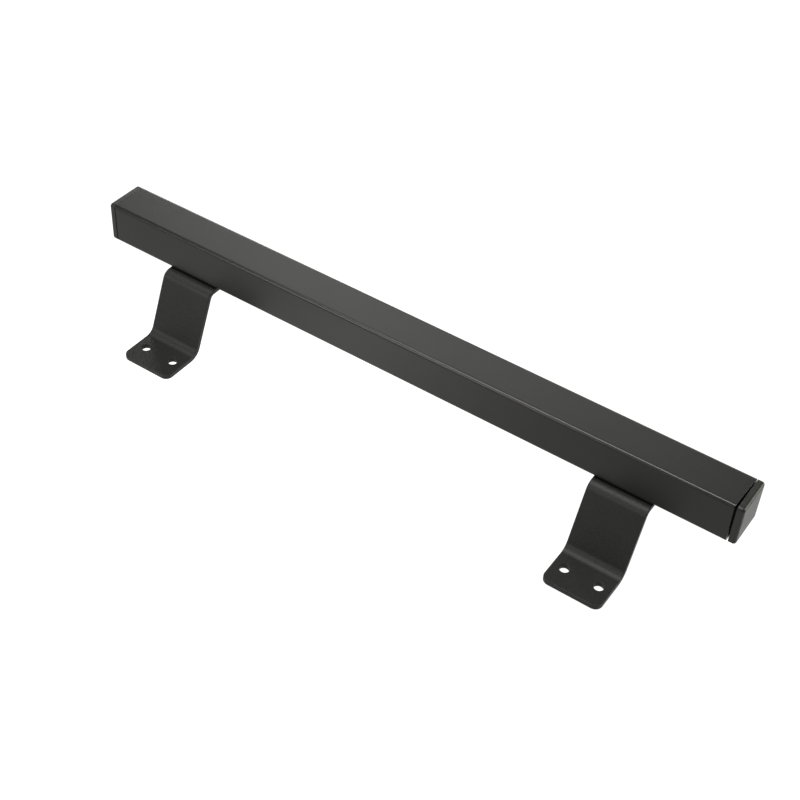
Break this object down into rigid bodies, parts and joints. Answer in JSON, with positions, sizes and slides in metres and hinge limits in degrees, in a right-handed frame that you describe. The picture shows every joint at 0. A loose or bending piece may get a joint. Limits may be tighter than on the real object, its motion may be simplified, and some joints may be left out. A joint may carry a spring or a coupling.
{
  "type": "bed assist rail",
  "caption": "Straight square-tube grip rail held off its mounting surface by Z-bent strip brackets with screw feet, ends closed by plastic caps.",
  "frame": {"origin": "on the mounting surface under the feet, below the middle of the whole rail's length and depth", "axes": "+X along the rail, -Y towards the feet's front edges, +Z away from the mounting surface towards the rail's top"},
  "size_m": [0.4052, 0.0694, 0.065],
  "materials": {
    "tube_coat": "satin black powder coat, smooth",
    "bracket_coat": "matt black powder coat, fine grain",
    "cap_plastic": "satin moulded black plastic",
    "black_zinc": "black zinc plate",
    "bright_zinc": "bright zinc plate"
  },
  "bodies": {
    "root": {"rail_tube": "tube_coat", "end_cap_left": "cap_plastic", "end_cap_right": "cap_plastic", "bracket_left": "bracket_coat", "bracket_right": "bracket_coat", "rail_screw_left_outer": "black_zinc", "rail_screw_left_inner": "black_zinc", "rail_screw_right_outer": "black_zinc", "rail_screw_right_inner": "black_zinc", "lock_washer_left_outer": "black_zinc", "lock_washer_left_inner": "black_zinc", "lock_washer_right_outer": "black_zinc", "lock_washer_right_inner": "black_zinc", "plain_washer_left_outer": "black_zinc", "plain_washer_left_inner": "black_zinc", "plain_washer_right_outer": "black_zinc", "plain_washer_right_inner": "black_zinc", "rivet_nut_left_outer": "bright_zinc", "rivet_nut_left_inner": "bright_zinc", "rivet_nut_right_outer": "bright_zinc", "rivet_nut_right_inner": "bright_zinc"}
  },
  "joints": []
}
